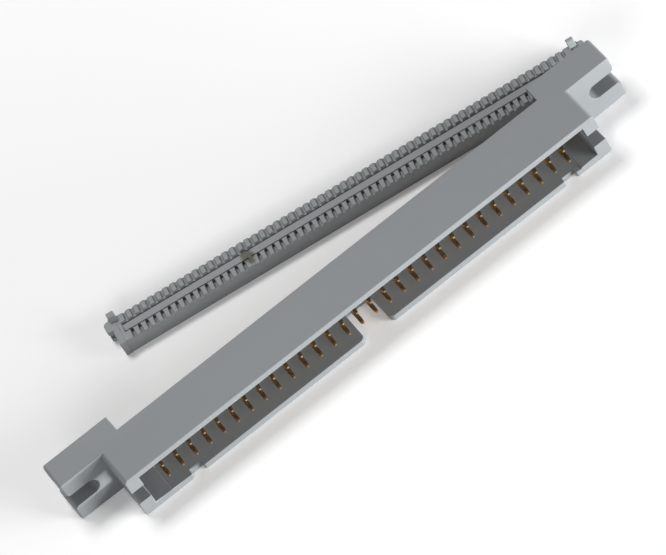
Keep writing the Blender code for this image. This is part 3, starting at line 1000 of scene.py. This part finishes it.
@dataclass
class CableCover:
    """The grooved cover that presses the cable onto the forked blades."""

    sizes: HeaderSizes
    finish: MouldedPlastic
    floor: float = 0.6
    ridge_row: float = 1.74
    tine_slot: float = 0.40
    row_round: float = 0.3
    land_drop: float = 0.27
    groove_radius: float = 0.29
    groove_drop: float = 0.09
    groove_stretch: float = 1.35
    groove_tilts: tuple[float, float] = (13.0, 4.0)
    groove_steps: int = 20
    end_wall: float = 1.05
    end_rise: float = 0.1
    end_proud: float = 0.1
    post_chamfer: float = 0.3
    catch: tuple[float, float, float] = (2.1, 1.1, 0.35)
    hook: tuple[float, float, float, float] = (0.85, 1.3, 0.75, 0.35)
    hook_forward: float = 0.4
    bump_round: float = 0.6
    windows: int = 5
    window_length: float = 0.9
    window_inset: float = 0.05
    window_wires: int = 14
    bridge_length: float = 1.1
    bridge_wires: float = -14.1
    filled_wires: float = -13.5
    filled_size: tuple[float, float, float] = (0.6, 1.6, 0.18)
    edge_round: float = 0.07
    end_edge_share: float = 1.8
    round_steps: int = 6
    stain: Stain = Stain((-17.45, -0.5, 2.5), (0.95, 1.65, 1.6), 15.0,
                         (0.064, 0.056, 0.038), 0.95)

    @property
    def ridge_inner(self) -> float:
        """Distance of the ridge rows' inner walls from the long axis."""
        return self.sizes.cover_width / 2 - self.ridge_row

    @property
    def land_half(self) -> float:
        """Half the width of the middle land."""
        return self.ridge_inner - self.tine_slot

    @property
    def land_top(self) -> float:
        """Height of the middle land."""
        return self.sizes.cover_height - self.land_drop

    @property
    def top(self) -> float:
        """Height of the end walls."""
        return self.sizes.cover_height + self.end_rise

    def bar(self) -> Shape:
        """Return the solid bar with its long upper edges rounded."""
        shape = bmesh.new()
        edge, radius = self.sizes.cover_width / 2, self.row_round
        right = [(edge, 0.0)] + arc((edge - radius, self.sizes.cover_height - radius),
                                    radius, 0, 90, self.round_steps)
        profile = right + [(-y, z) for y, z in reversed(right)]
        start = self.end_wall / 2 - self.sizes.cover_half
        add_prism(shape, [(start, y, z) for y, z in profile], (-2 * start, 0, 0))
        return shape

    def slot_cuts(self) -> Shape:
        """Return the two tine slots with the lowered land between them."""
        shape = bmesh.new()
        slot, land = self.ridge_inner, self.land_half
        right = [(slot, self.sizes.cover_height + self.sizes.overrun),
                 (slot, self.floor), (land, self.floor), (land, self.land_top)]
        profile = right + [(-y, z) for y, z in reversed(right)]
        start = -self.sizes.grooved_half
        add_prism(shape, [(start, y, z) for y, z in profile], (-2 * start, 0, 0))
        return shape

    def grooves(self) -> Shape:
        """Return the round-bottomed wire grooves, one set for each outer row."""
        shape = bmesh.new()
        wires = 2 * self.sizes.columns
        outside = self.sizes.cover_width / 2 + self.sizes.overrun
        inside = self.ridge_inner - self.tine_slot / 2
        turn = (Matrix.Rotation(math.pi / 2, 4, "X")
                @ Matrix.Diagonal((1, self.groove_stretch, 1, 1)))
        height = self.sizes.cover_height - self.groove_drop
        for wire in range(wires):
            x = (wire - (wires - 1) / 2) * self.sizes.wire_pitch
            for side, tilt in zip((-1, 1), self.groove_tilts):
                place = (Matrix.Translation((x, side * (outside + inside) / 2, height))
                         @ Matrix.Rotation(side * math.radians(tilt), 4, "X"))
                add_rod(shape, self.groove_radius, outside - inside,
                        self.groove_steps, place @ turn)
        return shape

    def window_cuts(self) -> Shape:
        """Return the small windows through the floor of the back tine slot."""
        shape = bmesh.new()
        spacing = self.window_wires * self.sizes.wire_pitch
        half, inset = self.window_length / 2, self.window_inset
        for number in range(self.windows):
            x = (number - (self.windows - 1) / 2) * spacing
            add_box(shape, (x - half, self.land_half + inset, -self.sizes.overrun),
                    (x + half, self.ridge_inner - inset,
                     self.floor + self.sizes.overrun))
        return shape

    def end_walls(self) -> Shape:
        """Return the wall at each end, a little proud of the bar."""
        shape = bmesh.new()
        half = self.sizes.cover_width / 2
        add_box_pair(shape, (self.sizes.cover_half - self.end_wall,
                             -half - self.end_proud, 0),
                     (self.sizes.cover_half, half, self.top))
        return shape

    def posts(self) -> Shape:
        """Return the two latch posts, chamfered on their inner edge."""
        length, width, height = self.sizes.cover_post
        shape = bmesh.new()
        x, y = self.sizes.post_x, self.sizes.post_y
        add_box_pair(shape, (x - length / 2, y - width / 2,
                             self.top - self.sizes.overrun),
                     (x + length / 2, y + width / 2, self.top + height))
        inner = [edge for edge in shape.edges
                 if all(vert.co.z > self.top and vert.co.y < y for vert in edge.verts)]
        round_edges(shape, inner, self.post_chamfer, 1)
        return shape

    def catches(self) -> Shape:
        """Return the rounded catch at each end and the small hook under it."""
        shape = bmesh.new()
        width, height, from_back = self.catch
        hook_reach, hook_width, hook_height, hook_raise = self.hook
        back = self.sizes.cover_width / 2 - from_back
        self.add_bumps(shape, self.sizes.catch_reach, back, width,
                       self.top - height, self.top)
        self.add_bumps(shape, hook_reach,
                       back - (width - hook_width) / 2 - self.hook_forward, hook_width,
                       hook_raise, hook_raise + hook_height)
        return shape

    def add_bumps(self, shape: Shape, reach: float, back: float,
                  width: float, low: float, high: float) -> None:
        """Add a bump with rounded outer corners to both ends of the bar.

        Args:
            shape: The shape that gets the bumps.
            reach: How far they stand out of the ends.
            back: Y of their back.
            width: Their width from back to front.
            low: Their lowest height.
            high: Their highest height.
        """
        radius = min(reach, width / 2) * self.bump_round
        inner = self.sizes.cover_half - self.sizes.overrun
        outer = self.sizes.cover_half + reach - radius
        front = back - width
        outline = [(inner, front),
                   *arc((outer, front + radius), radius, -90, 0, self.round_steps),
                   *arc((outer, back - radius), radius, 0, 90, self.round_steps),
                   (inner, back)]
        for side in (-1, 1):
            add_prism(shape, [(side * x, y, low) for x, y in outline],
                      (0, 0, high - low))

    def bridge(self) -> Shape:
        """Return the bridge that crosses the back slot and the plug in one groove."""
        shape = bmesh.new()
        centre = self.bridge_wires * self.sizes.wire_pitch
        overrun = self.sizes.overrun
        add_box(shape, (centre - self.bridge_length / 2, self.land_half - overrun,
                        self.floor - overrun / 2),
                (centre + self.bridge_length / 2, self.ridge_inner + overrun / 2,
                 self.land_top - overrun / 5))
        centre = self.filled_wires * self.sizes.wire_pitch
        length, width, drop = self.filled_size
        add_box(shape, (centre - length / 2, -self.ridge_inner - width,
                        self.floor - overrun / 2),
                (centre + length / 2, overrun - self.land_half,
                 self.sizes.cover_height - drop))
        return shape

    def edge_share(self, edge: bmesh.types.BMEdge, middle: Vector) -> float:
        """Round the ends more than the grooves, but for the edges it lies on.

        Args:
            edge: An outer edge of the cover; not used.
            middle: The edge's middle.

        Returns:
            The edge's share of the rounding.
        """
        bar_end = self.sizes.grooved_half - self.sizes.cover_end_margin
        raised = middle.z >= TOUCHING and abs(middle.x) > bar_end
        return self.end_edge_share if raised else 1.0

    def build(self, place: Matrix) -> None:
        """Model the cover and put it in place of its solid.

        Args:
            place: Where the cover's own axes are, in millimetres.
        """
        shape = combined(self.bar(), [
            (Step.CUT, self.slot_cuts()), (Step.CUT, self.grooves()),
            (Step.CUT, self.window_cuts()),
            (Step.JOIN, self.end_walls()), (Step.JOIN, self.posts()),
            (Step.JOIN, self.catches()), (Step.JOIN, self.bridge())])
        mesh = softened(shape, self.edge_round, self.edge_share)
        finish = replace(self.finish, stain=self.stain.placed(place))
        add_piece("grooved_cover", mesh, finish.material(),
                  ["cable_cover"], place)


@dataclass(frozen=True)
class CoverLying:
    """How the taken-off cover lies behind the right ear, in millimetres."""

    gap: float = 0.9
    turn: float = -9.9
    along: float = 10.0

    def place(self, header: Housing, cover: CableCover) -> Matrix:
        """Work out where the cover's own axes are.

        Args:
            header: The housing that the cover lies behind.
            cover: The cover.

        Returns:
            The cover's place, in millimetres.
        """
        turn = math.radians(self.turn)
        reach = cover.sizes.cover_half * abs(math.sin(turn))
        half = (cover.sizes.cover_width / 2 + cover.end_proud) * math.cos(turn)
        away = header.ear_depth + self.gap + reach + half
        return (Matrix.Translation((self.along, away, 0))
                @ Matrix.Rotation(turn, 4, "Z"))


@dataclass(frozen=True)
class SoftBox:
    """A rectangular lamp that faces the header from some direction."""

    name: str
    azimuth: float
    elevation: float
    distance: float
    width: float
    height: float
    watts: float

    def build(self) -> None:
        """Hang the lamp. Azimuth 0 is in front of the mating side."""
        data = bpy.data.lights.new(self.name, "AREA")
        data.shape = "RECTANGLE"
        data.size, data.size_y = self.width, self.height
        data.energy = self.watts
        lamp = new_object(self.name, data)
        towards = direction(self.azimuth, self.elevation)
        lamp.location = towards * self.distance
        lamp.rotation_euler = towards.to_track_quat("Z", "Y").to_euler()


def direction(azimuth: float, elevation: float) -> Vector:
    """Return the unit vector towards a place seen from the header."""
    turn, rise = math.radians(azimuth), math.radians(elevation)
    return Vector((math.sin(turn) * math.cos(rise), -math.cos(turn) * math.cos(rise),
                   math.sin(rise)))


@dataclass(frozen=True)
class PhotoCamera:
    """The camera that sees the header as it was photographed, in metres."""

    aim: Place = (0.0, -0.0071, 0.0)
    azimuth: float = -6.927
    elevation: float = 47.376
    roll: float = -32.994
    distance: float = 0.99134
    pan_right: float = -0.0069
    pan_up: float = 0.00792
    lens: float = 370.58
    sensor: float = 36.0
    clip: tuple[float, float] = (0.05, 20.0)

    def build(self) -> None:
        """Set the camera up and make it the scene's camera."""
        back = direction(self.azimuth, self.elevation)
        level = (-back).cross(Vector((0, 0, 1))).normalized()
        upright = level.cross(-back)
        turn = math.radians(self.roll)
        right = math.cos(turn) * level + math.sin(turn) * upright
        up = math.cos(turn) * upright - math.sin(turn) * level
        place = (Vector(self.aim) + back * self.distance + right * self.pan_right
                 + up * self.pan_up)
        data = bpy.data.cameras.new("photo_camera")
        data.lens = self.lens
        data.sensor_width = self.sensor
        data.clip_start, data.clip_end = self.clip
        camera = new_object("photo_camera", data)
        axes = Matrix((right, up, back)).transposed()
        camera.matrix_world = Matrix.Translation(place) @ axes.to_4x4()
        bpy.context.scene.camera = camera


@dataclass
class Studio:
    """White paper under soft light, and the camera."""

    camera: PhotoCamera = field(default_factory=PhotoCamera)
    paper: FloorPaper = field(default_factory=FloorPaper)
    floor_half: float = 2.5
    floor_drop: float = 0.00003
    ambient: float = 0.17
    lamps: tuple[SoftBox, ...] = (
        SoftBox("low_right_lamp", 44.0, 3.5, 0.8, 0.50, 0.07, 11.8),
        SoftBox("right_front_lamp", 38.0, 17.0, 0.8, 0.35, 0.15, 3.5),
        SoftBox("left_front_lamp", -38.0, 30.0, 0.8, 0.35, 0.25, 1.5),
        SoftBox("back_lamp", -168.0, 65.0, 0.8, 0.30, 0.24, 3.1),
    )

    def floor(self) -> None:
        """Lay the paper that the header rests on."""
        shape = bmesh.new()
        bmesh.ops.create_grid(shape, x_segments=1, y_segments=1, size=self.floor_half)
        bmesh.ops.translate(shape, verts=shape.verts, vec=(0, 0, -self.floor_drop))
        item = as_object(shape, "paper_floor")
        item.data.materials.append(self.paper.material())

    def world(self) -> None:
        """Make the surroundings: even soft light, seen as plain white."""
        board = Board(bpy.data.worlds.new("studio_world"))
        strength = board.seen_directly() * (1 - self.ambient) + self.ambient
        glow = board.node("ShaderNodeBackground", {}, {"Strength": strength})
        bpy.context.scene.world = board.finish(glow)

    def build(self) -> None:
        """Set up camera, floor, world and lamps."""
        bpy.context.scene.view_settings.view_transform = "Standard"
        self.camera.build()
        self.floor()
        self.world()
        for lamp in self.lamps:
            lamp.build()


def write_sizes() -> None:
    """Bring the scene's evaluated state up to date."""
    bpy.context.view_layer.update()


def main() -> None:
    """Build the studio, the header and its cover, and report each piece."""
    logging.basicConfig(level=logging.INFO)
    sizes = HeaderSizes()
    Studio().build()
    housing = Housing(sizes, MouldedPlastic("housing_grey", HOUSING_GREY))
    housing.build()
    gold = GoldPlate("contact_plating", BRIGHT_GOLD, DEEP_GOLD)
    Contact(sizes, gold).build(frame["nodes"])
    cover = CableCover(sizes, MouldedPlastic("cover_grey", COVER_GREY))
    cover.build(CoverLying().place(housing, cover))
    write_sizes()


if __name__ == "__main__":
    main()
